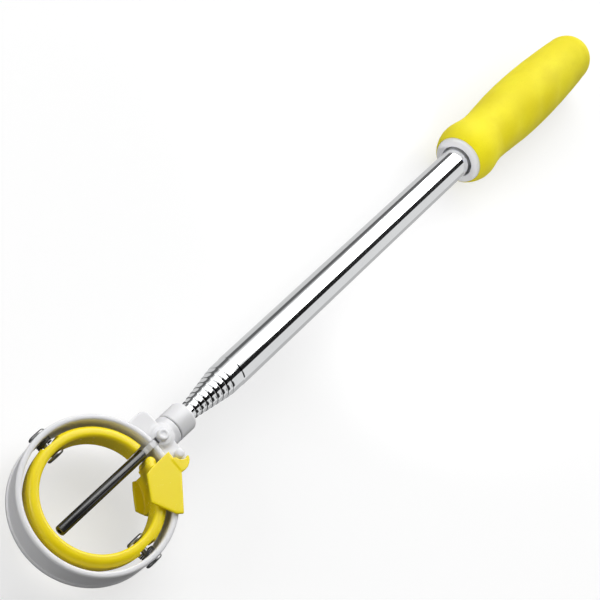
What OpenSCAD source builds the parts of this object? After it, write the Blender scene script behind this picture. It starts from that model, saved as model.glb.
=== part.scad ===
// Telescopic golf-ball retriever.
// Millimetres. The pole runs along X with the head toward -X, and the catch ring lies flat with +Z up.
// The origin is under the middle of the bounding box.

/* [Catch ring] */
// outer radius of the white ring
ring_ro = 36; // [32:0.5:42]
// inner radius of the white ring
ring_ri = 33.2; // [30:0.1:38]
// height of the white ring
ring_h = 17.8; // [12:0.2:22]
// inner radius of the yellow open ring
cup_ri = 25.6; // [23:0.1:28]
// outer radius of the yellow open ring
cup_ro = 31; // [28:0.1:32]
// half of the gap between the yellow ring's ends
cup_gap = 2.55; // [2.5:0.05:3]
// height of the two pivots above the white ring's middle
pivot_z = 2; // [0:0.5:4]
// radius of the pivot shafts
pivot_r = 1.5; // [1.2:0.1:2]

/* [Hub] */
// radius of the hub barrel and of the socket sleeve
hub_r = 7.3; // [6:0.1:9]
// distance from the ring's centre to the boss and the latch post
boss_x = 40.4; // [39:0.1:44]
// sideways distance to the latch post
post_y = 11; // [10:0.1:13]
// radius of the latch post
post_r = 2.2; // [1.5:0.1:3]

/* [Trigger] */
// distance from the ring's centre to the trigger axle
axle_x = 43; // [42:0.5:45]
// height of the trigger above the ring's middle
rod_z = 5; // [4:0.5:6]
// radius of the black rod
rod_r = 2.4; // [1.6:0.1:2.4]
// end of the rod, from the ring's centre toward the head's tip
rod_tip = 23.1; // [18:0.1:23.3]
// half of the trigger arm's width
arm_half = 1.4; // [1.2:0.1:1.6]

/* [Pole] */
// outer radius of the largest section
tube_r = 8.4; // [7:0.1:10]
// how much smaller each section's radius is than the last
tube_step = 0.525; // [0.5:0.005:0.6]
// wall of each section
tube_wall = 0.3; // [0.25:0.01:0.4]
// distance from the ring's centre to the largest section's front
pole_front = 86.9; // [80:0.1:95]
// how far each retracted section stands out of the next
pole_show = 3.25; // [2:0.05:6]
// distance from the ring's centre to the largest section's hidden end
pole_rear = 437; // [380:1:440]

/* [Grip] */
// largest radius of the grip
grip_r = 17.9; // [15:0.1:20]
// distance from the ring's centre to the grip's mouth
grip_front = 304.5; // [290:0.5:320]
// distance from the ring's centre to the grip's far end
grip_rear = 453; // [450:0.5:470]
// radius of the white collar
collar_r = 14; // [12:0.1:15]

/* [Hidden] */
$fn = 96;
ring_top = ring_h / 2;
seam_x = 50.3;
socket_end = 61.3;
rod_end = 29.4;
bush_len = 14;
lid_z = ring_top + 0.3;
lid_t = 1.5;
liner_r = 10.4;
shift = [-(grip_rear - ring_ro) / 2, 0, grip_r];

function tube_out(i) = tube_r - tube_step * (i - 1);
function tube_in(i) = tube_out(i) - tube_wall;
function tube_front(i) = i == 9 ? 52.5 : pole_front - pole_show * (i - 1);
function tube_rear(i) = pole_rear - 2 * (i - 1);
function arc(cx, cy, r, a0, a1, n) =
    [for (k = [0 : n]) let (a = a0 + (a1 - a0) * k / n) [cx + r * cos(a), cy + r * sin(a)]];

// Turns a profile of [position along X, radius] points about the pole's axis.
module along_x(points) {
    rotate([90, 0, 90])
        rotate_extrude()
            polygon([for (p = points) [p[1], p[0]]]);
}

// A plain round bar along X.
module bar_x(x0, x1, r) {
    translate([x0, 0, 0])
        rotate([0, 90, 0])
            cylinder(h = x1 - x0, r = r);
}

// A plain round bar along Y.
module bar_y(y0, y1, r) {
    translate([0, y0, 0])
        rotate([-90, 0, 0])
            cylinder(h = y1 - y0, r = r);
}

// A box between two corners.
module block(lo, hi) {
    translate(lo)
        cube(hi - lo);
}

// ---- white frame ----

module ring_wall() {
    c = 0.6;
    s = 0.6;
    rotate_extrude($fn = 180)
        polygon([
            [ring_ri, -ring_top + c],
            [ring_ri + c, -ring_top],
            [ring_ro - c, -ring_top],
            [ring_ro, -ring_top + c],
            [ring_ro, -ring_top + 2.4],
            [ring_ro - s, -ring_top + 3],
            [ring_ro - s, ring_top - 3.2],
            [ring_ro, ring_top - 2.7],
            [ring_ro, ring_top - 0.8],
            [ring_ro - 0.8, ring_top],
            [ring_ri + 0.8, ring_top],
            [ring_ri, ring_top - 0.8]
        ]);
}

module hub_dome() {
    top = 9.2;
    translate([boss_x, 0, 0])
        rotate_extrude()
            polygon(concat(
                [[0, -hub_r], [5.2, -hub_r], [hub_r, -5.2]],
                arc(3.3, 4.9, 4, 0, 60, 5),
                [[4.2, top], [0, top]]
            ));
}

module hub_lugs() {
    lug_top = 7.8;
    lug_low = -4;
    for (side = [-1, 1])
        translate([boss_x, side * post_y, lug_low])
            cylinder(h = lug_top - lug_low, r = 3.5);
    block([boss_x - 3.5, -post_y, lug_low], [boss_x + 3.5, post_y, lug_top]);
}

module trigger_room() {
    half = arm_half + 0.1;
    block([31, -half, rod_z - 2], [37.6, half, 14]);
    block([37.5, -half, rod_z - 3.6], [45.9, half, rod_z + 3]);
    block([45.8, -half, rod_z - 3.6], [47.2, half, rod_z + 0.4]);
    translate([45.2, 0, -1.4])
        cylinder(h = 3, r = 1.5);
    translate([axle_x, 0, rod_z])
        bar_y(-5, 5, 1.2);
}

module ring_frame() {
    color("white")
        difference() {
            union() {
                ring_wall();
                difference() {
                    union() {
                        along_x([[33.4, 0], [33.4, hub_r], [seam_x - 0.6, hub_r], [seam_x, hub_r - 0.6],
                            [seam_x, 0]]);
                        hub_dome();
                        hub_lugs();
                    }
                    translate([0, 0, -20])
                        cylinder(h = 40, r = ring_ri + 0.6);
                }
            }
            trigger_room();
            bar_x(47.6, seam_x + 1, 5);
            translate([0, 0, pivot_z])
                bar_y(-ring_ro - 1, ring_ro + 1, pivot_r);
        }
}

module hub_boss() {
    color("white")
        translate([boss_x, 0, 9.2])
            rotate_extrude()
                polygon([[0, 0], [2.8, 0], [2.8, 1.1], [2.3, 1.6], [0, 1.8]]);
}

module hook_post() {
    color("white")
        translate([boss_x, -post_y, 7.8])
            rotate_extrude()
                polygon([[0, 0], [post_r, 0], [post_r, 2.2], [post_r - 0.6, 2.8], [0, 3]]);
}

module socket_sleeve() {
    color("white")
        difference() {
            union() {
                along_x([[seam_x + 0.3, 0], [seam_x + 0.3, hub_r - 0.5], [seam_x + 0.8, hub_r],
                    [socket_end - 1.4, hub_r], [socket_end - 0.4, hub_r - 0.5], [socket_end, hub_r - 1.5],
                    [socket_end, 0]]);
                bar_x(48, seam_x + 0.5, 5);
            }
            bar_x(52.5, socket_end + 1, tube_out(9));
        }
}

// ---- yellow open ring ----

module cup_profile() {
    polygon(concat(
        [[cup_ri, -2.4], [30, -2.4], [30.8, -1.2]],
        arc(cup_ro - 3, 5.4, 3, 0, 82, 8),
        arc(cup_ri + 1.5, 6.9, 1.5, 95, 180, 6)
    ));
}

module cup_lid() {
    linear_extrude(lid_t)
        polygon([[36.4, -7], [35.9, -11], [33.8, -18], [21.4, -30.9], [18.9, -28.9], [13.7, -17.8],
            [21.3, -7.6], [26, -7]]);
}

module cup_floor() {
    intersection() {
        linear_extrude(1.4)
            polygon([[22.7, -5.7], [20, -8.6], [16.8, -12.5], [14.1, -16.1], [15.2, -18.8], [17.2, -21.8], [30, -38],
                [45, -7.2], [25.2, -7.2]]);
        cylinder(h = 2, r = cup_ro - 0.4);
    }
}

// The part of the ring's wall that runs from the lower plate up to the upper plate.
module cup_tower() {
    low = -8.2;
    intersection() {
        rotate_extrude()
            polygon([[cup_ri, low], [29.2, low], [29.2, -1], [30, 5], [30, lid_z + 0.1], [26.6, lid_z + 0.1],
                [cup_ri, 6]]);
        translate([0, 0, low])
            linear_extrude(20)
                polygon([[20, -6.6], [40, -6.6], [40, -40], [14.4, -18.6]]);
    }
}

module cup_claw() {
    translate([0, 0, lid_z - 1])
        linear_extrude(2.7)
            polygon(concat(
                [[34.8, -10.6], [34.4, -17.5], [36.5, -17.8], [38.3, -17.6], [39.8, -17], [41.1, -16.1], [42, -15],
                    [42.3, -14]],
                arc(boss_x, -post_y, post_r + 1, 300, 175, 14)
            ));
}

module inner_ring() {
    color("gold")
        difference() {
            union() {
                rotate_extrude($fn = 180)
                    cup_profile();
                translate([28.6, -cup_gap - 2.5, -2.4])
                    cylinder(h = 10.5, r = 2.5);
                cup_tower();
                translate([0, 0, lid_z])
                    cup_lid();
                translate([0, 0, -8.2])
                    cup_floor();
                cup_claw();
            }
            block([20, -cup_gap, -5], [36, cup_gap, 12]);
            for (side = [-1, 1])
                block([-4.6, side * 31.6 - 2, -5], [4.6, side * 31.6 + 2, 12]);
            translate([0, 0, pivot_z])
                bar_y(-ring_ri, ring_ri, pivot_r + 0.06);
        }
}

// ---- pivots and springs ----

module pivot_rivet() {
    translate([0, 0, pivot_z])
        rotate([0, 0, 90])
            along_x([[23.8, 0], [23.8, 3.6], [24.3, 4.2], [25, 4.2], [25, pivot_r], [ring_ro + 0.1, pivot_r],
                [ring_ro + 0.1, 4.2], [ring_ro + 0.8, 4.2], [ring_ro + 1.4, 3.4], [ring_ro + 1.4, 0]]);
}

module pivot_rivet_left() {
    color("silver")
        pivot_rivet();
}

module pivot_rivet_right() {
    color("silver")
        mirror([0, 1, 0])
            pivot_rivet();
}

// Three close turns of wire on the pivot.
module ring_spring() {
    wire = 0.42;
    for (k = [0 : 2])
        translate([0, 30.9 + 0.83 * k, pivot_z])
            rotate([90, 0, 0])
                rotate_extrude($fn = 48)
                    translate([3.4, 0])
                        circle(r = wire, $fn = 16);
}

module ring_spring_left() {
    color("dimgray")
        ring_spring();
}

module ring_spring_right() {
    color("dimgray")
        mirror([0, 1, 0])
            ring_spring();
}

// ---- trigger ----

module trigger_arm() {
    color("white")
        difference() {
            union() {
                translate([0, arm_half, rod_z])
                    rotate([90, 0, 0])
                        linear_extrude(2 * arm_half)
                            polygon([[rod_end, -1.4], [rod_end, 1.4], [31.4, 2], [33, 3.6], [36.2, 3.6],
                                [37, 1.5], [axle_x, 1.5], [axle_x, -1.5], [32, -1.5]]);
                translate([axle_x, 0, rod_z])
                    bar_y(-arm_half, arm_half, 2.6);
                block([axle_x, -arm_half, rod_z - 2.6], [46.4, arm_half, rod_z - 0.6]);
            }
            translate([axle_x, 0, rod_z])
                bar_y(-3, 3, 1.26);
            translate([0, 0, rod_z])
                bar_x(rod_end - 1, 35, 0.8);
        }
}

module trigger_sleeve() {
    color("#1c1c1e")
        translate([0, 0, rod_z])
            along_x([[-rod_tip, 1.1], [-rod_tip, rod_r - 0.3], [-rod_tip + 0.3, rod_r],
                [rod_end - 0.3, rod_r], [rod_end, rod_r - 0.3], [rod_end, 0.8], [-rod_tip + 1.5, 0.8],
                [-rod_tip + 1.5, 1.1]]);
}

module trigger_core() {
    color("silver")
        translate([0, 0, rod_z])
            bar_x(-rod_tip + 1, 35, 0.8);
}

module trigger_axle() {
    color("silver")
        translate([axle_x, 0, rod_z])
            bar_y(-5, 5, 1.2);
}

module trigger_spring() {
    color("silver")
        for (k = [0 : 4])
            translate([45.2, 0, -1.1 + 0.62 * k])
                rotate_extrude($fn = 32)
                    translate([1.05, 0])
                        circle(r = 0.31, $fn = 14);
}

// ---- telescopic pole ----

// Section i: plain wall, a slightly drawn-in neck, and a rolled front end that guides the next section.
module tube(i) {
    ro = tube_out(i);
    ri = tube_in(i);
    front = tube_front(i);
    neck = i == 1 ? 8.5 : 3;
    lip = tube_out(i + 1) + 0.05;
    drop = i == 1 ? 0.2 : 0.12;
    hide = i == 1 ? grip_front - 2 : tube_rear(i);
    color("silver")
        if (i == 9)
            along_x([[front, ri], [front, ro], [tube_rear(i), ro], [tube_rear(i), ri]]);
        else
            along_x([[front, lip], [front, ro - 0.42], [front + 0.2, ro - 0.28], [front + 0.6, ro - drop],
                [front + neck - 0.6, ro - drop], [front + neck, ro], [hide, ro], [hide, ro - (i == 1 ? 0.02 : 0)],
                [tube_rear(i), ro - (i == 1 ? 0.02 : 0)], [tube_rear(i), ri], [front + neck, ri],
                [front + neck - 0.5, lip]]);
}

// The friction bush on section i's hidden end, which runs in section i - 1.
module bush(i) {
    color("ivory")
        along_x([[tube_rear(i) - bush_len, tube_out(i)], [tube_rear(i) - bush_len, tube_in(i - 1) - 0.04],
            [tube_rear(i), tube_in(i - 1) - 0.04], [tube_rear(i), tube_out(i)]]);
}

module collar() {
    r = tube_r;
    color("white")
        along_x([[grip_front - 1.5, r + 1], [grip_front - 1.5, 11.6], [grip_front - 1.2, 12.9],
            [grip_front - 0.5, 13.6], [grip_front + 0.6, collar_r], [grip_front + 2.5, collar_r],
            [grip_front + 2.5, 13], [grip_front + 14, 13], [grip_front + 14, r - 0.02],
            [grip_front + 3.5, r - 0.02], [grip_front + 3.5, r + 1]]);
}

function grip_shape() = [
    [0.5, 14.4], [1.3, 15], [3, 15.9], [5.5, 16.8], [8.5, 17.5], [12, 17.6], [16, 17.1], [21, 16.2], [27, 15.7],
    [33, 15.8], [42, 16.5], [54, 17.4], [66, 17.85], [76, grip_r], [88, 17.75], [100, 17.3], [114, 16.5],
    [126, 15.7], [133, 15]
];

module grip() {
    end_r = 15;
    color("gold")
        difference() {
            along_x(concat(
                [[grip_front + 3, 0], [grip_front + 3, collar_r + 0.1], [grip_front + 0.4, collar_r + 0.1]],
                [for (p = grip_shape()) [grip_front + p[0], p[1]]],
                arc(grip_rear - end_r, 0, end_r, 86, 2, 12),
                [[grip_rear, 0]]
            ));
            bar_x(grip_front + 2.5, grip_front + 14.2, 13);
            bar_x(grip_front + 14, 440.5, liner_r);
        }
}

module grip_liner() {
    color("ivory")
        along_x([[grip_front + 14.2, tube_r - 0.02], [grip_front + 14.2, liner_r], [440.5, liner_r],
            [440.5, 0], [pole_rear + 1.5, 0], [pole_rear + 1.5, tube_r - 0.02]]);
}

module tail_plug() {
    color("ivory")
        bar_x(pole_rear, pole_rear + 1.5, tube_r - 0.02);
}

translate(shift) {
    ring_frame();
    hub_boss();
    hook_post();
    socket_sleeve();
    inner_ring();
    pivot_rivet_left();
    pivot_rivet_right();
    ring_spring_left();
    ring_spring_right();
    trigger_arm();
    trigger_sleeve();
    trigger_core();
    trigger_axle();
    trigger_spring();
    tube(1);  // tube_1
    tube(2);  // tube_2
    tube(3);  // tube_3
    tube(4);  // tube_4
    tube(5);  // tube_5
    tube(6);  // tube_6
    tube(7);  // tube_7
    tube(8);  // tube_8
    tube(9);  // tube_9
    bush(2);  // bush_2
    bush(3);  // bush_3
    bush(4);  // bush_4
    bush(5);  // bush_5
    bush(6);  // bush_6
    bush(7);  // bush_7
    bush(8);  // bush_8
    bush(9);  // bush_9
    collar();
    grip();
    grip_liner();
    tail_plug();
}
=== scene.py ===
"""Looks of the telescopic golf-ball retriever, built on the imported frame."""

import logging
import math
from dataclasses import dataclass, field
from enum import Enum
from typing import Iterable, Optional, Sequence, Union

import bmesh
import bpy
from mathutils import Matrix, Vector

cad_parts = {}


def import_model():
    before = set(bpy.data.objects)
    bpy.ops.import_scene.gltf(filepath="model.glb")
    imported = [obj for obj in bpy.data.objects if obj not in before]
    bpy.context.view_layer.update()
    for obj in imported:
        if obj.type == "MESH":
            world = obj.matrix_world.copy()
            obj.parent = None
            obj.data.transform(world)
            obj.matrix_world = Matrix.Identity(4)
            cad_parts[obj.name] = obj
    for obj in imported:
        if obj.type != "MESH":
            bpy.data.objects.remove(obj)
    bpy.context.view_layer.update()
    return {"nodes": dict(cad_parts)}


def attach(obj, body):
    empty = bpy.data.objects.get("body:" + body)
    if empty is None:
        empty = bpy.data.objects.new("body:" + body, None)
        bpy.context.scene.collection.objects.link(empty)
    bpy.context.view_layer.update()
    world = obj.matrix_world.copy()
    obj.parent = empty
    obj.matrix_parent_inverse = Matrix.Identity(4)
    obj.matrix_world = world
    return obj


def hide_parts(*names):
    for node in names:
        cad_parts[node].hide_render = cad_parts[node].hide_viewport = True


log = logging.getLogger("retriever")
MM = 0.001
Point = tuple[float, float]
Value = Union[float, "Socket"]


class Axis(Enum):
    """Direction that a turned piece is built about."""

    POLE = "X"
    PIVOT = "Y"
    UP = "Z"


# ---------------------------------------------------------------- shader maths


class Socket:
    """A node socket that takes part in Python arithmetic."""

    def __init__(self, net: "Net", link: bpy.types.NodeSocket) -> None:
        """Wraps a socket.

        Args:
            net: the node net that it belongs to.
            link: the output socket that is wrapped.
        """
        self.net = net
        self.link = link

    def _maths(self, op: str, a: Value, b: Value) -> "Socket":
        """Adds a Math node.

        Args:
            op: the Math node's operation.
            a: first value.
            b: second value.

        Returns:
            The node's result.
        """
        return self.net.node("ShaderNodeMath", {"operation": op}, {0: a, 1: b})

    def __add__(self, other: Value) -> "Socket":
        """Sum."""
        return self._maths("ADD", self, other)

    def __radd__(self, other: Value) -> "Socket":
        """Sum with a plain number first."""
        return self._maths("ADD", other, self)

    def __sub__(self, other: Value) -> "Socket":
        """Difference."""
        return self._maths("SUBTRACT", self, other)

    def __rsub__(self, other: Value) -> "Socket":
        """Difference with a plain number first."""
        return self._maths("SUBTRACT", other, self)

    def __mul__(self, other: Value) -> "Socket":
        """Product."""
        return self._maths("MULTIPLY", self, other)

    def __rmul__(self, other: Value) -> "Socket":
        """Product with a plain number first."""
        return self._maths("MULTIPLY", other, self)

    def __truediv__(self, other: Value) -> "Socket":
        """Quotient."""
        return self._maths("DIVIDE", self, other)

    def __rtruediv__(self, other: Value) -> "Socket":
        """Quotient with a plain number first."""
        return self._maths("DIVIDE", other, self)

    def above(self, edge: float, soft: float) -> "Socket":
        """A mask that rises from 0 to 1 around a value.

        Args:
            edge: the value where it is a half.
            soft: half the width of the rise.

        Returns:
            The mask.
        """
        settings = {"interpolation_type": "SMOOTHSTEP"}
        values = {0: self, 1: edge - soft, 2: edge + soft}
        return self.net.node("ShaderNodeMapRange", settings, values)


class Net:
    """The nodes of a material or a world, built one call at a time."""

    def __init__(self, owner: Union[bpy.types.Material, bpy.types.World], shader: str) -> None:
        """Opens the nodes.

        Args:
            owner: the material or the world.
            shader: the name of the shader node that it starts with.
        """
        owner.use_nodes = True
        self.owner = owner
        self.tree = owner.node_tree
        self.shader = self.tree.nodes[shader]

    @classmethod
    def of_material(cls, name: str) -> "Net":
        """A new material's net."""
        return cls(bpy.data.materials.new(name), "Principled BSDF")

    def node(
        self,
        kind: str,
        settings: Optional[dict] = None,
        values: Optional[dict] = None,
        out: Union[int, str] = 0,
    ) -> Socket:
        """Adds any node.

        Args:
            kind: the node's type.
            settings: its properties; "stops" gives a ramp's (position, colour) pairs.
            values: numbers, colours or links, by socket name or index.
            out: the output socket that is returned.

        Returns:
            The chosen output.
        """
        n = self.tree.nodes.new(kind)
        for key, value in (settings or {}).items():
            if key == "stops":
                ramp = n.color_ramp.elements
                while len(ramp) < len(value):
                    ramp.new(0.5)
                for stop, (at, colour) in zip(ramp, value):
                    stop.position = at
                    stop.color = (*colour, 1.0)
            else:
                setattr(n, key, value)
        for key, value in (values or {}).items():
            if isinstance(value, Socket):
                self.tree.links.new(value.link, n.inputs[key])
            elif isinstance(value, tuple) and len(value) == 3 and n.inputs[key].type == "RGBA":
                n.inputs[key].default_value = (*value, 1.0)
            else:
                n.inputs[key].default_value = value
        return Socket(self, n.outputs[out])

    def place(self, stretch: Sequence[float] = (1, 1, 1)) -> Socket:
        """Object coordinates, stretched per axis.

        Args:
            stretch: scale along X, Y and Z.

        Returns:
            The coordinates.
        """
        here = self.node("ShaderNodeTexCoord", out="Object")
        return self.node("ShaderNodeMapping", {}, {"Vector": here, "Scale": tuple(stretch)})

    def noise(
        self, scale: float, detail: float = 3.0, stretch: Sequence[float] = (1, 1, 1)
    ) -> Socket:
        """Smooth noise in metres.

        Args:
            scale: cells per metre.
            detail: octaves.
            stretch: scale along X, Y and Z.

        Returns:
            The noise, about 0 to 1.
        """
        values = {"Vector": self.place(stretch), "Scale": scale, "Detail": detail}
        return self.node("ShaderNodeTexNoise", {}, values, "Fac")

    def blend(self, mask: Value, low: Union[tuple, Socket], high: Union[tuple, Socket]) -> Socket:
        """Mixes two colours.

        Args:
            mask: 0 gives low and 1 gives high.
            low: the first colour.
            high: the second colour.

        Returns:
            The colour.
        """
        return self.node("ShaderNodeMix", {"data_type": "RGBA"}, {0: mask, 6: low, 7: high}, 2)

    def bump(self, height: Socket, distance: float, strength: float = 1.0) -> Socket:
        """A Bump node.

        Args:
            height: the relief, 0 to 1.
            distance: the relief's depth in metres.
            strength: how strongly it shows.

        Returns:
            The normal.
        """
        values = {"Height": height, "Distance": distance, "Strength": strength}
        return self.node("ShaderNodeBump", {}, values)

    def feed(
        self, **values: Union[float, tuple, Socket]
    ) -> Union[bpy.types.Material, bpy.types.World]:
        """Sets or links the shader's own sockets.

        Args:
            values: by socket name, with _ for a space.

        Returns:
            The material or the world.
        """
        for key, value in values.items():
            socket = self.shader.inputs[key.replace("_", " ")]
            if isinstance(value, Socket):
                self.tree.links.new(value.link, socket)
            else:
                socket.default_value = value
        return self.owner


# ---------------------------------------------------------------- finishes


@dataclass(frozen=True)
class MouldedPlastic:
    """Gloss injection moulding with faint flow shading and a fine satin skin."""

    name: str
    light: tuple
    deep: tuple
    rough: float = 0.28
    glow: float = 0.0
    sheen: float = 0.5

    def make(self) -> bpy.types.Material:
        """Builds the material.

        Returns:
            The material.
        """
        net = Net.of_material(self.name)
        flow = net.noise(38, 4)
        scuffs = net.noise(900, 2, (0.35, 1, 1)).above(0.66, 0.05)
        skin = net.noise(4200, 2)
        return net.feed(
            Base_Color=net.blend(flow, self.deep, self.light),
            Roughness=net.noise(160, 3) * 0.10 + (self.rough - 0.05) + scuffs * 0.04,
            Normal=net.bump(skin * 0.6 + flow * 0.4, 0.00002, 0.6),
            Subsurface_Weight=self.glow,
            Subsurface_Scale=0.003,
            Subsurface_Radius=(1.0, 0.85, 0.2),
            Specular_IOR_Level=self.sheen,
            IOR=1.5,
        )


@dataclass(frozen=True)
class SoftRubber:
    """Soft matte rubber with a mottled colour and a fine skin."""

    name: str
    light: tuple
    deep: tuple

    def make(self) -> bpy.types.Material:
        """Builds the material.

        Returns:
            The material.
        """
        net = Net.of_material(self.name)
        patches = net.noise(60, 5, (0.7, 1, 1)).above(0.52, 0.17)
        specks = net.noise(1500, 3)
        handled = net.noise(24, 2).above(0.52, 0.16)
        colour = net.blend(patches, self.deep, self.light)
        darker = tuple(c * 0.80 for c in self.deep)
        colour = net.blend(specks.above(0.60, 0.12) * 0.16, colour, darker)
        return net.feed(
            Base_Color=colour,
            Roughness=0.66 - handled * 0.12 + specks * 0.08,
            Normal=net.bump(specks * 0.7 + patches * 0.3, 0.00012, 0.55),
            Specular_IOR_Level=0.22,
            Subsurface_Weight=0.04,
            Subsurface_Scale=0.002,
        )


@dataclass(frozen=True)
class DrawnMetal:
    """Bright metal with faint lines along the way it was drawn or turned."""

    name: str
    colour: tuple
    rough: float
    lines: tuple = (0.02, 1, 1)
    relief: float = 0.000002

    def make(self) -> bpy.types.Material:
        """Builds the material.

        Returns:
            The material.
        """
        net = Net.of_material(self.name)
        streaks = net.noise(1800, 3, self.lines)
        haze = net.noise(70, 3)
        marks = net.noise(420, 4).above(0.64, 0.05)
        dull = tuple(c * 0.88 for c in self.colour)
        uneven = haze * (self.rough * 0.5) + streaks * (self.rough * 0.4)
        return net.feed(
            Base_Color=net.blend(haze * 0.6 + marks * 0.2, self.colour, dull),
            Metallic=1.0,
            Roughness=self.rough + uneven + marks * 0.03,
            Normal=net.bump(streaks, self.relief, 0.5),
        )


@dataclass(frozen=True)
class RodSkin:
    """Dark gloss sleeve with faint lengthwise wear."""

    name: str
    colour: tuple

    def make(self) -> bpy.types.Material:
        """Builds the material.

        Returns:
            The material.
        """
        net = Net.of_material(self.name)
        wear = net.noise(700, 3, (0.06, 1, 1)).above(0.58, 0.12)
        fine = net.noise(3800, 2, (0.3, 1, 1))
        worn = tuple(c + 0.03 for c in self.colour)
        return net.feed(
            Base_Color=net.blend(wear, self.colour, worn),
            Roughness=0.13 + wear * 0.12 + fine * 0.05,
            IOR=1.6,
            Normal=net.bump(fine, 0.00001, 0.5),
            Coat_Weight=0.4,
            Coat_Roughness=0.14,
        )


@dataclass
class Finishes:
    """Every finish of the tool, by the record's slot."""

    made: dict = field(default_factory=dict)

    def build(self) -> None:
        """Makes the materials."""
        recipes = {
            "white_abs": MouldedPlastic(
                "white_moulding", (0.79, 0.79, 0.80), (0.75, 0.75, 0.765), rough=0.30, glow=0.02
            ),
            "yellow_abs": MouldedPlastic(
                "yellow_moulding", (0.91, 0.735, 0.008), (0.86, 0.68, 0.005), rough=0.24,
                glow=0.20, sheen=0.38,
            ),
            "yellow_rubber": SoftRubber("yellow_rubber", (0.84, 0.74, 0.012), (0.77, 0.66, 0.006)),
            "chrome_tube": DrawnMetal("polished_chrome", (0.90, 0.91, 0.92), 0.045),
            "steel_pin": DrawnMetal(
                "satin_steel", (0.36, 0.36, 0.36), 0.24, lines=(1, 0.05, 1), relief=0.000006
            ),
            "spring_steel": DrawnMetal(
                "dark_wire", (0.10, 0.10, 0.105), 0.30, lines=(1, 1, 1), relief=0.000004
            ),
            "black_rod": RodSkin("black_sleeve", (0.007, 0.007, 0.008)),
            "nylon": MouldedPlastic(
                "natural_nylon", (0.70, 0.67, 0.58), (0.64, 0.61, 0.52), rough=0.45
            ),
        }
        for slot, recipe in recipes.items():
            self.made[slot] = recipe.make()

    def dress(self, piece: bpy.types.Object, slot: str) -> None:
        """Gives a piece one finish.

        Args:
            piece: the object.
            slot: the record's material slot.
        """
        piece.data.materials.clear()
        piece.data.materials.append(self.made[slot])


# ---------------------------------------------------------------- mesh tools


@dataclass
class Layout:
    """Where the tool lies in the row frame. All sizes are in millimetres from the ring's centre."""

    ring_centre: Vector = field(default_factory=lambda: Vector((-208.5, 0.0, 17.9)))

    def spot(self, x: float, y: float, z: float) -> Vector:
        """A point given from the ring's centre, in metres in the row frame."""
        return (Vector((x, y, z)) + self.ring_centre) * MM


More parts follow.
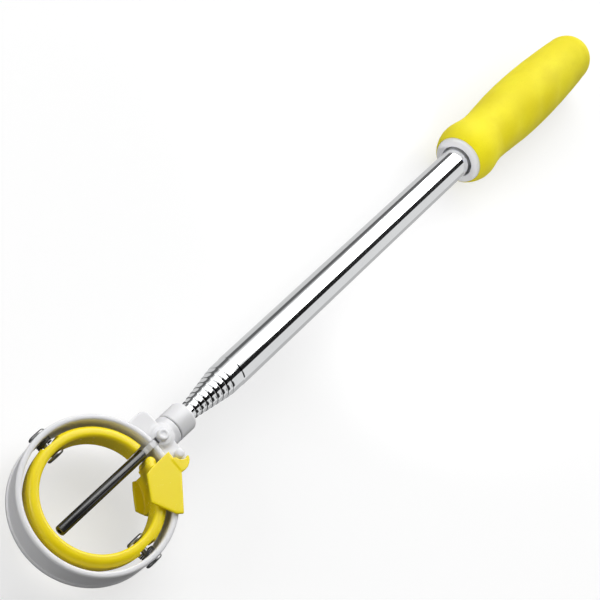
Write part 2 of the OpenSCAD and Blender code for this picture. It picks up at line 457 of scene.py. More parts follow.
class Shaper:
    """Turns bmesh shapes into finished, dressed pieces."""

    def __init__(self, layout: Layout, finishes: Finishes) -> None:
        """Keeps the places and the finishes.

        Args:
            layout: places in the row frame.
            finishes: the materials.
        """
        self.layout = layout
        self.finishes = finishes

    def turned(
        self,
        profile: Sequence[Point],
        axis: Axis,
        steps: int = 128,
        sweep: float = 360.0,
        start: float = 0.0,
    ) -> bmesh.types.BMesh:
        """Spins a closed profile.

        Args:
            profile: (position along the axis, radius) pairs.
            axis: what it turns about.
            steps: how many steps the sweep takes.
            sweep: the angle that is swept, in degrees.
            start: the angle where it starts, in degrees.

        Returns:
            The turned shape, in millimetres.
        """
        bm = bmesh.new()
        corners = [bm.verts.new((r, 0.0, along)) for along, r in profile]
        loop = [bm.edges.new((a, b)) for a, b in zip(corners, corners[1:] + corners[:1])]
        self.spun(bm, start, "Z")
        full = abs(sweep - 360.0) < 1e-6
        if not full:
            loop = loop + [bm.faces.new(corners)]
        bmesh.ops.spin(
            bm, geom=corners + loop, cent=(0, 0, 0), axis=(0, 0, 1), angle=math.radians(sweep),
            steps=steps, use_merge=full,
        )
        bmesh.ops.remove_doubles(bm, verts=bm.verts, dist=0.0005)
        loose = [e for e in bm.edges if not e.link_faces]
        bmesh.ops.delete(bm, geom=loose, context="EDGES")
        if axis is Axis.POLE:
            self.spun(bm, 90, "Y")
        elif axis is Axis.PIVOT:
            self.spun(bm, -90, "X")
        bmesh.ops.recalc_face_normals(bm, faces=bm.faces)
        return bm

    def spun(self, bm: bmesh.types.BMesh, angle: float, axis: str) -> bmesh.types.BMesh:
        """Turns a whole shape about the ring's centre.

        Args:
            bm: the shape.
            angle: how far, in degrees.
            axis: about X, Y or Z.

        Returns:
            The same shape.
        """
        turn = Matrix.Rotation(math.radians(angle), 3, axis)
        bmesh.ops.rotate(bm, verts=bm.verts, cent=(0, 0, 0), matrix=turn)
        return bm

    def slab(self, outline: Sequence[Point], low: float, high: float) -> bmesh.types.BMesh:
        """A flat plate.

        Args:
            outline: its (x, y) corners.
            low: height of its underside.
            high: height of its top.

        Returns:
            The plate, in millimetres.
        """
        bm = bmesh.new()
        face = bm.faces.new([bm.verts.new((x, y, low)) for x, y in outline])
        top = bmesh.ops.extrude_face_region(bm, geom=[face])
        moved = [g for g in top["geom"] if isinstance(g, bmesh.types.BMVert)]
        bmesh.ops.translate(bm, verts=moved, vec=(0, 0, high - low))
        bmesh.ops.recalc_face_normals(bm, faces=bm.faces)
        return bm

    def box(self, low: Sequence[float], high: Sequence[float]) -> bmesh.types.BMesh:
        """A block between two corners, in millimetres."""
        (x0, y0, z0), (x1, y1, z1) = low, high
        return self.slab([(x0, y0), (x1, y0), (x1, y1), (x0, y1)], z0, z1)

    def round_edges(
        self, bm: bmesh.types.BMesh, width: float, segments: int = 3, sharper: float = 20.0
    ) -> None:
        """Rounds the edges that turn by more than an angle.

        Args:
            bm: the shape.
            width: the rounding's width.
            segments: its segments.
            sharper: the least angle between faces, in degrees.
        """
        least = math.radians(sharper)
        sharp = [e for e in bm.edges if len(e.link_faces) == 2 and e.calc_face_angle(0.0) > least]
        bmesh.ops.bevel(
            bm, geom=sharp, offset=width, segments=segments, affect="EDGES", profile=0.5,
            material=-1, clamp_overlap=True,
        )
        bmesh.ops.remove_doubles(bm, verts=bm.verts, dist=0.002)

    def shift(self, bm: bmesh.types.BMesh, x: float, y: float, z: float) -> bmesh.types.BMesh:
        """Moves a shape by millimetres and returns it."""
        bmesh.ops.translate(bm, verts=bm.verts, vec=(x, y, z))
        return bm

    def joined(self, shapes: Iterable[bmesh.types.BMesh]) -> bmesh.types.BMesh:
        """Puts several shapes in one bmesh.

        Args:
            shapes: the shapes, which are freed.

        Returns:
            One bmesh that holds them all.
        """
        whole = bmesh.new()
        for shape in shapes:
            scratch = bpy.data.meshes.new("scratch")
            shape.to_mesh(scratch)
            shape.free()
            whole.from_mesh(scratch)
            bpy.data.meshes.remove(scratch)
        return whole

    def raw(self, name: str, bm: bmesh.types.BMesh) -> bpy.types.Object:
        """Makes an object from a shape in ring millimetres.

        Args:
            name: the object's name.
            bm: the shape, which is freed.

        Returns:
            The object, in metres in the row frame.
        """
        bmesh.ops.translate(bm, verts=bm.verts, vec=self.layout.ring_centre)
        bmesh.ops.scale(bm, verts=bm.verts, vec=(MM, MM, MM))
        mesh = bpy.data.meshes.new(name)
        bm.to_mesh(mesh)
        bm.free()
        piece = bpy.data.objects.new(name, mesh)
        bpy.context.scene.collection.objects.link(piece)
        return piece

    def settle(self, piece: bpy.types.Object, modifiers: Sequence[tuple[str, dict]]) -> None:
        """Runs modifiers on a piece and keeps their result in its mesh.

        Args:
            piece: the object.
            modifiers: (type, settings) pairs.
        """
        for kind, settings in modifiers:
            mod = piece.modifiers.new(kind.lower(), kind)
            for key, value in settings.items():
                setattr(mod, key, value)
        graph = bpy.context.evaluated_depsgraph_get()
        result = bpy.data.meshes.new_from_object(piece.evaluated_get(graph))
        piece.modifiers.clear()
        old, piece.data = piece.data, result
        result.name = piece.name
        bpy.data.meshes.remove(old)

    def carve(self, piece: bpy.types.Object, cutters: Iterable[bmesh.types.BMesh]) -> None:
        """Cuts shapes out of a piece.

        Args:
            piece: the object.
            cutters: the shapes to take away.
        """
        for cutter in cutters:
            tool = self.raw("cutter", cutter)
            settings = {"operation": "DIFFERENCE", "solver": "EXACT", "object": tool}
            self.settle(piece, [("BOOLEAN", settings)])
            bpy.data.objects.remove(tool)
        self.drop_crumbs(piece)

    def drop_crumbs(self, piece: bpy.types.Object, least: int = 40) -> None:
        """Deletes the stray slivers that a cut leaves.

        Args:
            piece: the object.
            least: islands with fewer faces than this go.
        """
        bm = bmesh.new()
        bm.from_mesh(piece.data)
        bmesh.ops.dissolve_degenerate(bm, dist=0.002 * MM, edges=bm.edges)
        waiting = set(bm.faces)
        while waiting:
            island, front = set(), [waiting.pop()]
            while front:
                face = front.pop()
                island.add(face)
                near = {other for edge in face.edges for other in edge.link_faces} & waiting
                waiting -= near
                front.extend(near)
            if len(island) < least:
                bmesh.ops.delete(bm, geom=list(island), context="FACES")
        bm.to_mesh(piece.data)
        bm.free()

    def melt(self, piece: bpy.types.Object, voxel: float, passes: int) -> None:
        """Runs overlapping shapes into one closed skin and softens its corners.

        Args:
            piece: the object.
            voxel: the skin's grid in millimetres.
            passes: smoothing passes.
        """
        self.settle(piece, [
            ("REMESH", {"mode": "VOXEL", "voxel_size": voxel * MM}),
            ("SMOOTH", {"factor": 0.6, "iterations": passes}),
        ])

    def finish(
        self,
        piece: Union[bpy.types.Object, bmesh.types.BMesh],
        name: str,
        slot: str,
        body: str,
        stands_for: Sequence[str] = (),
        crease: float = 32.0,
    ) -> bpy.types.Object:
        """Shades, dresses and attaches a piece.

        Args:
            piece: the object, or its shape in ring millimetres.
            name: its name.
            slot: the record's material slot.
            body: the CAD body that it rides on.
            stands_for: the CAD nodes that it replaces.
            crease: edges sharper than this many degrees stay crisp.

        Returns:
            The finished object.
        """
        if isinstance(piece, bmesh.types.BMesh):
            piece = self.raw(name, piece)
        piece.name = name
        piece.data.polygons.foreach_set("use_smooth", [True] * len(piece.data.polygons))
        piece.data.set_sharp_from_angle(angle=math.radians(crease))
        self.finishes.dress(piece, slot)
        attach(piece, body)
        if stands_for:
            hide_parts(*stands_for)
        log.info("%s: %d faces", name, len(piece.data.polygons))
        return piece


def bow(cx: float, cy: float, r: float, a0: float, a1: float, n: int) -> list[Point]:
    """Points along an arc.

    Args:
        cx: centre, first coordinate.
        cy: centre, second coordinate.
        r: radius.
        a0: first angle in degrees.
        a1: last angle in degrees.
        n: segments.

    Returns:
        The points.
    """
    steps = [math.radians(a0 + (a1 - a0) * k / n) for k in range(n + 1)]
    return [(cx + r * math.cos(a), cy + r * math.sin(a)) for a in steps]


# ---------------------------------------------------------------- the white head


@dataclass
class WhiteHead:
    """The white ring, its hub, boss, latch post and socket sleeve."""

    shaper: Shaper
    ring_ri: float = 33.2
    ring_ro: float = 36.0
    top: float = 8.9
    hub_r: float = 7.3
    boss_x: float = 40.4
    post_y: float = 11.0
    seam_x: float = 50.3
    socket_end: float = 61.3
    lug_low: float = -3.9
    lug_top: float = 7.7
    voxel: float = 0.34
    passes: int = 9

    def slot_cutters(self) -> list[bmesh.types.BMesh]:
        """The room for the trigger arm."""
        s = self.shaper
        return [s.box((30, -1.5, 3.0), (37.6, 1.5, 14)), s.box((37.4, -1.5, 1.4), (45.9, 1.5, 8.0))]

    def ring(self) -> None:
        """The outer ring with its rolled rims."""
        s, ri, ro, t = self.shaper, self.ring_ri, self.ring_ro, self.top
        profile = [
            (-t, ri), (-t, ro), (-t + 2.4, ro), (-t + 2.9, ro - 0.6), (t - 3.1, ro - 0.6),
            (t - 2.8, ro - 0.1), (t - 2.5, ro), (t, ro), (t, ri),
        ]
        bm = s.turned(profile, Axis.UP, 224)
        rims = [
            e for e in bm.edges
            if abs(e.verts[0].co.z - e.verts[1].co.z) < 1e-5
            and abs(abs(e.verts[0].co.z) - t) < 1e-4
            and e.calc_face_angle(0.0) > 0.8
        ]
        bmesh.ops.bevel(
            bm, geom=rims, offset=1.0, segments=5, affect="EDGES", profile=0.5, material=-1
        )
        piece = s.raw("white_ring", bm)
        s.carve(piece, self.slot_cutters()[:1])
        s.finish(piece, "white_ring", "white_abs", "head", ["ring_frame"])

    def hub(self) -> None:
        """The hub barrel, dome and side lugs, run together with soft corners."""
        s, r, seam = self.shaper, self.hub_r, self.seam_x
        barrel_edge = [(33.0, 0), (33.0, r), (seam - 0.5, r), (seam, r - 0.5), (seam, 0)]
        barrel = s.turned(barrel_edge, Axis.POLE, 64)
        dome_edge = [(-r + 0.2, 0), (-r + 0.2, 5.2), (-5.2, r)]
        dome_edge += [(z, x) for x, z in bow(3.3, 4.7, 4.0, 0, 62, 6)]
        dome_edge += [(9.0, 4.4), (9.1, 0)]
        shapes = [barrel, s.shift(s.turned(dome_edge, Axis.UP, 64), self.boss_x, 0, 0)]
        low, top, x, y = self.lug_low, self.lug_top, self.boss_x, self.post_y
        for side in (-1, 1):
            lug = s.turned([(low, 0), (low, 3.4), (top, 3.4), (top, 0)], Axis.UP, 48)
            shapes.append(s.shift(lug, x, side * y, 0))
        shapes.append(s.box((32.6, -14.3, low), (x, 14.3, top)))
        shapes.append(s.box((x - 1, -y, low), (x + 3.4, y, top)))
        piece = s.raw("hub_shell", s.joined(shapes))
        s.melt(piece, self.voxel, self.passes)
        wall = self.ring_ri + 0.5
        inner = s.turned([(-20, 0), (-20, wall), (20, wall), (20, 0)], Axis.UP, 160)
        bore = s.turned([(47.6, 0), (47.6, 5.02), (52, 5.02), (52, 0)], Axis.POLE, 64)
        s.carve(piece, [inner, bore] + self.slot_cutters())
        s.finish(piece, "hub_shell", "white_abs", "head")

    def small_parts(self) -> None:
        """The boss, the latch post and the socket sleeve."""
        s, r = self.shaper, self.hub_r
        boss_edge = [
            (9.05, 0), (9.05, 2.8), (10.5, 2.8), (10.95, 2.35), (10.95, 1.5), (10.7, 1.0),
            (10.65, 0),
        ]
        boss = s.turned(boss_edge, Axis.UP, 64)
        s.round_edges(boss, 0.22, 3)
        s.shift(boss, self.boss_x, 0, 0)
        s.finish(boss, "hub_boss_cap", "white_abs", "head", ["hub_boss"])
        post = s.turned([(7.6, 0), (7.6, 2.2), (10.0, 2.2), (10.6, 1.6), (10.8, 0)], Axis.UP, 48)
        s.round_edges(post, 0.3, 3, 15)
        s.shift(post, self.boss_x, -self.post_y, 0)
        s.finish(post, "latch_post", "white_abs", "head", ["hook_post"])
        a, b = self.seam_x + 0.3, self.socket_end
        sleeve_edge = [
            (48.0, 4.2), (48.0, 5.0), (a, 5.0), (a, r - 0.25), (a + 0.3, r), (b - 1.6, r),
            (b - 0.5, r - 0.55), (b, r - 1.6), (b, 4.25), (b - 0.5, 4.2),
        ]
        sleeve = s.turned(sleeve_edge, Axis.POLE, 112)
        s.round_edges(sleeve, 0.12, 3, 15)
        s.finish(sleeve, "socket_shell", "white_abs", "head", ["socket_sleeve"])

    def build(self) -> None:
        """Builds the whole head."""
        self.ring()
        self.hub()
        self.small_parts()


# ---------------------------------------------------------------- the yellow ring


@dataclass
class YellowRing:
    """The open ring that flips up, with its two plates and its claw."""

    shaper: Shaper
    ri: float = 25.6
    ro: float = 31.0
    gap: float = 2.55
    lid_z: float = 9.2
    floor_z: float = -8.2
    mid_r: float = 28.6
    knob_r: float = 2.5
    notch_y: float = 31.6
    post: Point = (40.4, -11.0)
    voxel: float = 0.32
    passes: int = 5

    def body(self) -> list[bmesh.types.BMesh]:
        """The C-shaped ring and the round knob at its right end.

        Returns:
            The two shapes.
        """
        s = self.shaper
        section = [(-2.4, self.ri), (-2.4, 30.0), (-1.2, 30.8)]
        section += [(z, x) for x, z in bow(self.ro - 3, 5.4, 3, 0, 82, 12)]
        section += [(z, x) for x, z in bow(self.ri + 1.5, 6.9, 1.5, 95, 180, 8)]
        open_by = math.degrees(math.asin(self.gap / self.mid_r)) + 0.6
        ring = s.turned(section, Axis.UP, 200, 360 - 2 * open_by - 4.0, open_by)
        knob_edge = [(-2.4, 0), (-2.4, self.knob_r), (6.7, self.knob_r)]
        knob = s.turned(knob_edge + [(7.5, 2.1), (7.95, 1.3), (8.1, 0)], Axis.UP, 40)
        return [ring, s.shift(knob, self.mid_r, -self.gap - self.knob_r, 0)]

    def tower(self) -> bmesh.types.BMesh:
        """The wall that joins the lower plate to the upper plate.

        Returns:
            The wall.
        """
        low, high, ri = self.floor_z, self.lid_z + 0.2, self.ri
        section = [
            (low, ri), (low, 29.2), (-1, 29.2), (5, 30), (high, 30), (high, 26.6), (6, ri),
        ]
        return self.shaper.turned(section, Axis.UP, 30, 37.5, -52)

    def plates(self) -> list[bmesh.types.BMesh]:
        """The upper plate, the claw beside it and the lower plate.

        Returns:
            The three shapes.
        """
        s, z = self.shaper, self.lid_z
        lid_outline = [
            (36.4, -7), (35.9, -11), (33.8, -18), (21.4, -30.9), (18.9, -28.9), (13.7, -17.8),
            (21.3, -7.6), (26, -7),
        ]
        lid = s.slab(lid_outline, z, z + 1.5)
        outer = [
            (34.8, -10.6), (34.4, -17.5), (36.5, -17.8), (38.3, -17.6), (39.8, -17.0),
            (41.1, -16.1), (42.0, -15.0), (42.3, -14.0),
        ]
        claw = s.slab(outer + bow(*self.post, 3.2, 300, 175, 18), z - 1.0, z + 1.7)
        inner = [
            (25.2, -7.2), (22.7, -5.7), (20.0, -8.6), (16.8, -12.5), (14.1, -16.1), (15.2, -18.8),
            (17.2, -21.8),
        ]
        rim = bow(0, 0, 30.6, -53, -13.7, 14)
        low = s.slab(inner + rim, self.floor_z, self.floor_z + 1.4)
        return [lid, claw, low]

    def build(self) -> None:
        """Runs the shapes together, softens them and cuts the pivot notches."""
        s = self.shaper
        shapes = self.body() + [self.tower()] + self.plates()
        piece = s.raw("catch_ring_shell", s.joined(shapes))
        s.melt(piece, self.voxel, self.passes)
        notches = [
            s.box((-4.6, side * self.notch_y - 2, -5), (4.6, side * self.notch_y + 2, 12))
            for side in (-1, 1)
        ]
        hole = s.turned([(-34, 0), (-34, 1.56), (34, 1.56), (34, 0)], Axis.PIVOT, 40)
        s.carve(piece, notches + [s.shift(hole, 0, 0, 2)])
        s.finish(piece, "catch_ring_shell", "yellow_abs", "catch_ring", ["inner_ring"])


# ---------------------------------------------------------------- pivots and springs


@dataclass
class Pivots:
    """The two rivets and the wire springs round them."""

    shaper: Shaper
    height: float = 2.0
    pin_r: float = 1.5
    head_r: float = 4.2
    wire_r: float = 0.4
    pitch: float = 0.82
    turns: float = 2.0

    def rivet(self, side: int) -> bmesh.types.BMesh:
        """One rivet, with a rolled head at each end.

        Args:
            side: 1 for +Y and -1 for -Y.

        Returns:
            The rivet.
        """
        s, pin, head = self.shaper, self.pin_r, self.head_r
        edge = [
            (23.8, 0), (23.8, 1.2), (24.0, 1.5), (23.8, 2.0), (23.8, 3.6), (24.3, head),
            (25.0, head), (25.0, pin), (36.1, pin), (36.1, head), (36.8, head), (37.35, 3.5),
            (37.35, 1.9), (37.0, 1.3), (37.0, 0),
        ]
        bm = s.turned(edge, Axis.PIVOT, 64)
        s.round_edges(bm, 0.12, 2, 25)
        return self.placed(bm, side)

    def placed(self, bm: bmesh.types.BMesh, side: int) -> bmesh.types.BMesh:
        """Puts a piece that was built on the left at the pivots' height on its own side.

        Args:
            bm: the shape.
            side: 1 for +Y and -1 for -Y.

        Returns:
            The same shape.
        """
        if side < 0:
            self.shaper.spun(bm, 180, "Z")
        return self.shaper.shift(bm, 0, 0, self.height)

    def coil(self, side: int) -> bmesh.types.BMesh:
        """A close coil of wire.

        Args:
            side: 1 for +Y and -1 for -Y.

        Returns:
            The coil.
        """
        bm = bmesh.new()
        bmesh.ops.create_circle(bm, cap_ends=True, radius=self.wire_r, segments=10)
        for axis in "YZX":
            self.shaper.spun(bm, 90, axis)
        self.shaper.shift(bm, 3.4, 30.95, 0)
        steps = 84
        bmesh.ops.spin(
            bm, geom=bm.verts[:] + bm.edges[:] + bm.faces[:], cent=(0, 0, 0), axis=(0, 1, 0),
            dvec=(0, self.pitch * self.turns / steps, 0), angle=math.radians(360 * self.turns),
            steps=steps, use_merge=False,
        )
        bmesh.ops.recalc_face_normals(bm, faces=bm.faces)
        return self.placed(bm, side)

    def build(self) -> None:
        """Builds both sides."""
        for side, word in ((1, "left"), (-1, "right")):
            rivet, coil = self.rivet(side), self.coil(side)
            done = self.shaper.finish
            done(rivet, f"rivet_{word}", "steel_pin", "head", [f"pivot_rivet_{word}"])
            done(coil, f"coil_{word}", "spring_steel", "head", [f"ring_spring_{word}"])


# ---------------------------------------------------------------- the trigger


@dataclass
class Trigger:
    """The white arm and the black rod that it carries."""

    shaper: Shaper
    axle_x: float = 43.0
    z: float = 5.0
    tip: float = 23.1
    end: float = 29.4
    rod_r: float = 2.4
    wire_r: float = 0.78

    def arm(self) -> bmesh.types.BMesh:
        """The arm with its eye and its tail.

        Returns:
            The arm.
        """
        s, x, z, nose = self.shaper, self.axle_x, self.z, self.end
        side = [(nose, z - 1.4), (32, z - 1.5), (x - 2.2, z - 1.5)]
        side += bow(x, z, 2.6, 215, 262, 5) + [(46.4, z - 2.6), (46.4, z - 0.6)]
        side += bow(x, z, 2.6, -12, 145, 14)
        side += [(37, z + 1.5), (36.2, z + 3.6), (33, z + 3.6), (31.4, z + 2), (nose, z + 1.4)]
        bm = s.spun(s.slab(side, -1.4, 1.4), 90, "X")
        s.round_edges(bm, 0.25, 3, 25)
        return bm

    def build(self) -> None:
        """Builds the arm, the sleeve and the wire's end."""
        s, r, core, tip, end = self.shaper, self.rod_r, self.wire_r, self.tip, self.end
        s.finish(self.arm(), "trigger_lever", "white_abs", "trigger", ["trigger_arm"])
        sleeve_edge = [
            (-tip, 1.1), (-tip, r - 0.35), (-tip + 0.35, r), (end - 0.3, r), (end, r - 0.3),
            (end, 0.8), (-tip + 1.6, 0.8), (-tip + 1.6, 1.1),
        ]
        sleeve = s.turned(sleeve_edge, Axis.POLE, 72)
        s.round_edges(sleeve, 0.12, 3, 15)
        s.shift(sleeve, 0, 0, self.z)
        s.finish(sleeve, "trigger_rod", "black_rod", "trigger", ["trigger_sleeve"])
        wire_edge = [
            (-tip + 0.9, 0), (-tip + 0.9, 0.55), (-tip + 1.1, core), (34.8, core), (34.8, 0),
        ]
        wire = s.shift(s.turned(wire_edge, Axis.POLE, 32), 0, 0, self.z)
        s.finish(wire, "rod_wire", "steel_pin", "trigger", ["trigger_core"])


# ---------------------------------------------------------------- the pole


@dataclass
class Pole:
    """The nine sliding sections."""

    shaper: Shaper
    radius: float = 8.4
    step: float = 0.525
    wall: float = 0.3
    front: float = 86.9
    show: float = 3.25
    rear: float = 437.0
    stagger: float = 2.0
    plug_x: float = 52.5
    count: int = 9

    def section(self, i: int) -> bmesh.types.BMesh:
        """One section, with its drawn-in neck and rolled front end.

        Args:
            i: 1 for the largest and 9 for the smallest.

        Returns:
            The section.
        """
        ro = self.radius - self.step * (i - 1)
        ri = ro - self.wall
        back = self.rear - self.stagger * (i - 1)
        if i == self.count:
            plain = [(self.plug_x, ri), (self.plug_x, ro), (back, ro), (back, ri)]
            return self.shaper.turned(plain, Axis.POLE, 96)
        a = self.front - self.show * (i - 1)
        neck, drop = (8.5, 0.2) if i == 1 else (3.1, 0.04)
        lip = ro - self.step + 0.05
        curl = [
            (a + 1.6 - 1.6 * math.cos(t), ro - 0.5 + (0.5 - drop) * math.sin(t))
            for t in (math.radians(7.5 * k) for k in range(13))
        ]
        crimp = [
            (a + neck - 0.8 + 0.8 * k / 6, ro - drop * (0.5 + 0.5 * math.cos(math.pi * k / 6)))
            for k in range(7)
        ]
        back_wall = [(back, ro), (back, ri), (a + neck, ri), (a + neck - 0.5, lip)]
        return self.shaper.turned([(a, lip)] + curl + crimp + back_wall, Axis.POLE, 112)

    def build(self) -> None:
        """Builds every section."""
        ends = {1: "handle", self.count: "head"}
        for i in range(1, self.count + 1):
            body, tube = ends.get(i, f"section_{i}"), self.section(i)
            self.shaper.finish(tube, f"section_tube_{i}", "chrome_tube", body, [f"tube_{i}"], 24)


# ---------------------------------------------------------------- the handle


@dataclass
class Handle:
    """The soft grip and the white collar in its mouth."""

    shaper: Shaper
    front: float = 304.5
    rear: float = 453.0
    hollow: float = 1.05
    fingers: tuple = (32, 55, 78, 101)
    finger_width: float = 6.5
    shape: tuple = (
        (0.5, 14.4), (1.3, 15), (3, 15.9), (5.5, 16.8), (8.5, 17.5), (12, 17.6), (16, 17.1),
        (21, 16.2), (27, 15.7), (33, 15.8), (42, 16.5), (54, 17.4), (66, 17.85), (76, 17.9),
        (88, 17.75), (100, 17.3), (114, 16.5), (126, 15.7), (133, 15),
    )

    def dents(self, x: float) -> float:
        """Depth of the finger hollows at a distance along the grip, from 0 to 1."""
        away = [(x - self.front - at) / self.finger_width for at in self.fingers]
        return sum(math.exp(-(step ** 2)) for step in away)

    def grip(self) -> None:
        """The soft grip, with shallow finger hollows on its side."""
        s, f = self.shaper, self.front
        profile = [(f + 3, 13.0), (f + 3, 14.1), (f + 0.6, 14.1)]
        profile += [(f + x, r) for x, r in self.shape]
        profile += bow(self.rear - 15, 0, 15, 86, 2, 16)
        profile += [(self.rear, 0), (440.4, 0), (440.4, 10.45), (f + 14, 10.45), (f + 14, 13.0)]
        bm = s.turned(profile, Axis.POLE, 112)
        long = [
            e for e in bm.edges
            if abs(e.verts[0].co.x - e.verts[1].co.x) > 5 and e.verts[0].co.yz.length > 14.5
        ]
        bmesh.ops.subdivide_edges(bm, edges=long, cuts=3, use_grid_fill=True)
        for v in bm.verts:
            out = v.co.yz.length
            if out > 14.6 and v.co.x > f + 10:
                side = max(0.0, (-v.co.y * 0.6 + v.co.z * 0.8) / out) ** 6
                deep = self.hollow * side * self.dents(v.co.x - 0.5 * v.co.y)
                v.co.y -= v.co.y / out * deep
                v.co.z -= v.co.z / out * deep
        piece = s.raw("soft_grip", bm)
        s.finish(piece, "soft_grip", "yellow_rubber", "handle", ["grip"], 50)

    def collar(self) -> None:
        """The white collar."""
        s, f = self.shaper, self.front
        edge = [
            (-1.5, 9.4), (-1.5, 11.6), (-1.2, 12.9), (-0.5, 13.6), (0.6, 14.0), (2.5, 14.0),
            (2.5, 13.0), (14, 13.0), (14, 8.42), (3.5, 8.42), (3.5, 9.4),
        ]
        bm = s.turned([(f + x, r) for x, r in edge], Axis.POLE, 112)
        s.round_edges(bm, 0.35, 3, 20)
        s.finish(bm, "collar_shell", "white_abs", "handle", ["collar"])

    def build(self) -> None:
        """Builds both."""
        self.grip()
        self.collar()


# ---------------------------------------------------------------- studio


@dataclass(frozen=True)
class Lamp:
    """A rectangular soft light, in metres. A beam under 90 degrees wide shows in no mirror."""

    name: str
    power: float
    size: Point
    place: tuple
    at: tuple
    spread: float = 180.0


@dataclass(frozen=True)
class Card:
    """A glowing rectangle that only mirrors see, in metres and tilted about X in degrees."""

    name: str
    size: Point
    middle: tuple
    tone: float
    tilt: float = 0.0


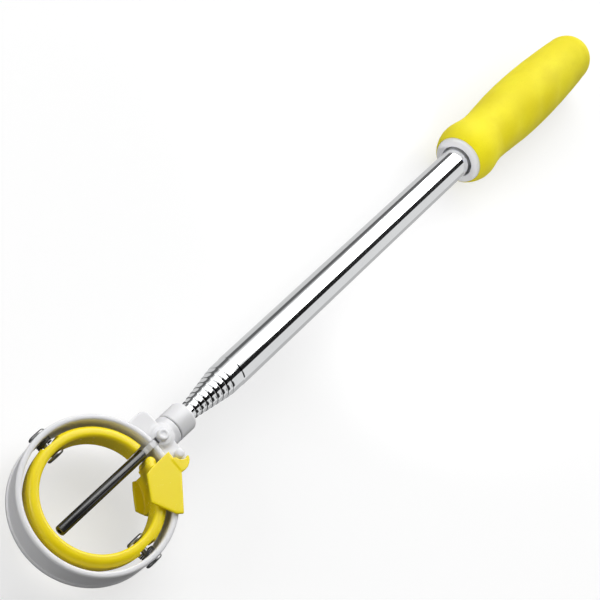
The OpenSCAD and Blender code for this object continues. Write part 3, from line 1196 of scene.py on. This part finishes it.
@dataclass
class Studio:
    """The pale floor, the soft lights, the dark cards that the chrome mirrors, and the camera."""

    layout: Layout
    eye: tuple = (-238.7, -5.6, 515.1)
    aim: tuple = (154.0, 2.7, 0.0)
    roll: float = 45.67
    lens: float = 78.0
    ambient: float = 0.24
    seen: float = 0.93
    mirrored: float = 0.76
    lamps: tuple = (
        Lamp("ceiling", 190.0, (5.6, 3.3), (2.6, 0.9, 2.34), (0.1, 0.1, 0.0)),
        Lamp("side", 42.0, (2.2, 1.5), (-2.2, 2.8, 1.2), (0.0, 0.0, 0.0)),
        Lamp("mouth", 0.068, (0.06, 0.06), (-0.11, -0.10, 0.15), (0.11, -0.01, 0.018), 80.0),
    )
    overhead: tuple = (
        Card("dark_card", (10.2, 1.55), (2.1, -1.30, 2.2), 0.012),
        Card("dark_back", (5.0, 3.3), (-1.95, -1.40, 2.15), 0.0),
        Card("dark_side", (5.3, 2.2), (-1.35, -2.75, 1.1), 0.03, tilt=90.0),
    )
    wall_bands: tuple = (
        (0.0, 0.95, 0.13), (0.95, 1.25, 0.36), (1.25, 1.65, 0.70), (1.65, 2.70, 1.05),
    )
    underfoot: tuple = (
        Card("left_apron", (10.2, 0.24), (2.1, 0.12, 0.0012), 0.66),
        Card("left_floor", (10.2, 2.51), (2.1, 1.495, 0.001), 0.14),
        Card("right_floor", (10.2, 2.7), (2.1, -1.35, 0.001), 0.76),
        # The darker strip along and under the pole's -Y side is a painted shadow of the pole on the
        # floor, seen only in the chrome.
        Card("right_pole_shadow", (0.49, 0.065), (0.105, -0.0325, 0.0015), 0.50),
        Card("front_shade", (0.415, 1.2), (-0.3425, 0.0, 0.0018), 0.04),
    )

    def flat(
        self, name: str, size: Point, middle: Sequence[float], tilt: float = 0.0
    ) -> bpy.types.Object:
        """A flat stage rectangle.

        Args:
            name: its name.
            size: its width and length in metres.
            middle: its centre in metres.
            tilt: its turn about X in degrees.

        Returns:
            The object.
        """
        bm = bmesh.new()
        bmesh.ops.create_grid(bm, x_segments=1, y_segments=1, size=0.5)
        bmesh.ops.scale(bm, verts=bm.verts, vec=(size[0], size[1], 1))
        mesh = bpy.data.meshes.new(name)
        bm.to_mesh(mesh)
        bm.free()
        piece = bpy.data.objects.new(name, mesh)
        piece.location = middle
        piece.rotation_euler = (math.radians(tilt), 0, 0)
        bpy.context.scene.collection.objects.link(piece)
        return piece

    def light(self, lamp: Lamp) -> None:
        """Hangs a lamp.

        Args:
            lamp: what it is and where it goes.
        """
        data = bpy.data.lights.new(lamp.name, "AREA")
        data.shape, data.energy = "RECTANGLE", lamp.power
        data.size, data.size_y = lamp.size
        data.spread = math.radians(lamp.spread)
        light = bpy.data.objects.new(lamp.name, data)
        light.location = lamp.place
        light.visible_glossy = lamp.spread > 90.0
        beam = Vector(lamp.at) - Vector(lamp.place)
        light.rotation_euler = beam.to_track_quat("-Z", "Y").to_euler()
        bpy.context.scene.collection.objects.link(light)

    def floor(self) -> None:
        """The pale floor that is seen, and under it a grey one that throws light back up."""
        net = Net.of_material("pale_floor")
        pale = net.feed(
            Base_Color=net.blend(net.noise(3, 2), (0.44, 0.44, 0.44), (0.46, 0.46, 0.46)),
            Roughness=0.9,
            Specular_IOR_Level=0.0,
            Emission_Color=(1, 1, 1, 1),
            Emission_Strength=0.56,
        )
        floor = self.flat("floor", (60, 60), (0, 0, -0.0003))
        floor.data.materials.append(pale)
        floor.visible_diffuse = floor.visible_shadow = False
        grey = Net.of_material("bounce_floor").feed(Base_Color=(0.30, 0.30, 0.30, 1), Roughness=0.9)
        under = self.flat("bounce", (60, 60), (0, 0, -0.0006))
        under.data.materials.append(grey)
        under.visible_camera = under.visible_glossy = False

    def hang(self, card: Card) -> None:
        """Puts up a card.

        Args:
            card: what it is and where it goes.
        """
        glow = Net.of_material(card.name).feed(
            Base_Color=(0, 0, 0, 1),
            Emission_Color=(card.tone, card.tone, card.tone, 1),
            Emission_Strength=1.0,
            Specular_IOR_Level=0.0,
            Roughness=1.0,
        )
        piece = self.flat(card.name, card.size, card.middle, card.tilt)
        piece.data.materials.append(glow)
        piece.visible_camera = piece.visible_diffuse = piece.visible_shadow = False
        piece.visible_transmission = False

    def walls(self) -> list[Card]:
        """The upright cards beyond +Y, each band brighter than the one below it.

        Returns:
            The cards.
        """
        return [
            Card(f"wall_{k}", (10.2, high - low), (2.1, 2.78, (low + high) / 2), tone, tilt=90.0)
            for k, (low, high, tone) in enumerate(self.wall_bands)
        ]

    def sky(self) -> None:
        """An even studio surround with its own strength for the camera and for mirrors."""
        world = bpy.data.worlds.new("studio")
        bpy.context.scene.world = world
        net = Net(world, "Background")
        camera = net.node("ShaderNodeLightPath", out="Is Camera Ray")
        mirror = net.node("ShaderNodeLightPath", out="Is Glossy Ray")
        extra = camera * (self.seen - self.ambient) + mirror * (self.mirrored - self.ambient)
        net.feed(Strength=self.ambient + extra, Color=(1, 1, 1, 1))

    def camera(self) -> None:
        """The camera."""
        data = bpy.data.cameras.new("camera")
        data.lens, data.sensor_width = self.lens, 36.0
        data.clip_start, data.clip_end = 0.01, 100.0
        cam = bpy.data.objects.new("camera", data)
        eye, aim = self.layout.spot(*self.eye), self.layout.spot(*self.aim)
        cam.location = eye
        look = (aim - eye).to_track_quat("-Z", "Y").to_matrix()
        cam.rotation_euler = (look @ Matrix.Rotation(math.radians(self.roll), 3, "Z")).to_euler()
        bpy.context.scene.collection.objects.link(cam)
        bpy.context.scene.camera = cam

    def build(self) -> None:
        """Sets everything up."""
        bpy.context.scene.view_settings.view_transform = "Standard"
        self.camera()
        self.sky()
        self.floor()
        for lamp in self.lamps:
            self.light(lamp)
        for card in (*self.overhead, *self.walls(), *self.underfoot):
            self.hang(card)


# ---------------------------------------------------------------- the tool


@dataclass
class Retriever:
    """The whole tool."""

    layout: Layout = field(default_factory=Layout)
    finishes: Finishes = field(default_factory=Finishes)
    kept: tuple = (
        ("trigger_axle", "steel_pin"), ("trigger_spring", "steel_pin"),
        ("grip_liner", "nylon"), ("tail_plug", "nylon"),
    )

    def dress_kept(self, nodes: dict) -> None:
        """Gives the carried-over CAD nodes their finishes.

        Args:
            nodes: the CAD nodes by name.
        """
        bushes = tuple((f"bush_{i}", "nylon") for i in range(2, 10))
        for name, slot in self.kept + bushes:
            self.finishes.dress(nodes[name], slot)

    def build(self, nodes: dict) -> None:
        """Builds every sub-assembly in order.

        Args:
            nodes: the CAD nodes by name.
        """
        self.finishes.build()
        shaper = Shaper(self.layout, self.finishes)
        for part in (WhiteHead, YellowRing, Pivots, Trigger, Pole, Handle):
            part(shaper).build()
        self.dress_kept(nodes)


def main() -> None:
    """Loads the frame and builds the tool and its studio."""
    logging.basicConfig(level=logging.INFO, format="%(name)s %(message)s")
    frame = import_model()
    tool = Retriever()
    Studio(tool.layout).build()
    tool.build(frame["nodes"])


if __name__ == "__main__":
    main()
